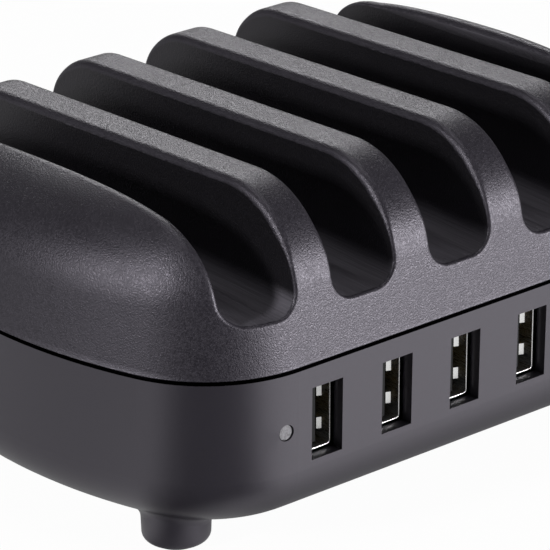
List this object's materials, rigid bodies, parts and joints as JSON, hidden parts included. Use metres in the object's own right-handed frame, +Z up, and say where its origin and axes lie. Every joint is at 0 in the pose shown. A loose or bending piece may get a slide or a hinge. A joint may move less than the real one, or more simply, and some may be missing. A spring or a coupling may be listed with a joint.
{
  "type": "usb_charging_station",
  "caption": "Desktop charging station: a crowned rack of open device slots on a plain satin base with upright USB ports and round feet.",
  "frame": {"origin": "on the surface it stands on, under the middle of the body", "axes": "+X along the row of ports to the right seen from the front, -Y out of the ports, +Z up"},
  "size_m": [0.1394, 0.105, 0.0655],
  "materials": {
    "rack_plastic": "fine spark-eroded grain",
    "base_plastic": "smooth satin",
    "port_steel": "plated sheet",
    "port_black": "moulded black",
    "contact_metal": "plated",
    "pipe_plastic": "frosted",
    "lamp": "clear",
    "board": "lacquered",
    "sheet": "film",
    "screw_steel": "zinc plated",
    "inlet_black": "moulded black",
    "pin_metal": "plated",
    "ferrite": "sintered",
    "winding_tape": "taped",
    "copper_wire": "enamelled",
    "capacitor_sleeve": "shrunk sleeve",
    "film_box": "moulded",
    "disc_coat": "dipped",
    "chip_black": "moulded",
    "sink_metal": "plain",
    "foot_rubber": "plain"
  },
  "bodies": {
    "root": {"device_rack": "rack_plastic", "base_housing": "base_plastic", "case_screws": "screw_steel", "board_screws": "screw_steel", "circuit_board": "board", "insulating_sheet": "sheet", "light_pipe": "pipe_plastic", "indicator_lamp": "lamp", "inlet_socket": "inlet_black", "inlet_pins": "pin_metal", "transformer_core": "ferrite", "transformer_winding": "winding_tape", "choke_core": "ferrite", "choke_windings": "copper_wire", "film_capacitor": "film_box", "fuse": "chip_black", "bridge_rectifier": "chip_black", "varistor": "disc_coat", "safety_capacitor": "disc_coat", "primary_heat_sink": "sink_metal", "primary_switch": "chip_black", "secondary_heat_sink": "sink_metal", "output_rectifier": "chip_black", "optocoupler": "chip_black", "supply_chip": "chip_black", "foot_pad_1": "foot_rubber", "foot_pad_2": "foot_rubber", "foot_pad_3": "foot_rubber", "foot_pad_4": "foot_rubber", "usb_shell_1": "port_steel", "usb_insulator_1": "port_black", "usb_contacts_1": "contact_metal", "usb_shell_2": "port_steel", "usb_insulator_2": "port_black", "usb_contacts_2": "contact_metal", "usb_shell_3": "port_steel", "usb_insulator_3": "port_black", "usb_contacts_3": "contact_metal", "usb_shell_4": "port_steel", "usb_insulator_4": "port_black", "usb_contacts_4": "contact_metal", "usb_shell_5": "port_steel", "usb_insulator_5": "port_black", "usb_contacts_5": "contact_metal", "bulk_capacitor_1": "capacitor_sleeve", "bulk_capacitor_2": "capacitor_sleeve", "output_capacitor_1": "capacitor_sleeve", "output_capacitor_2": "capacitor_sleeve", "output_capacitor_3": "capacitor_sleeve", "port_chip_1": "chip_black", "port_chip_2": "chip_black"}
  },
  "joints": []
}
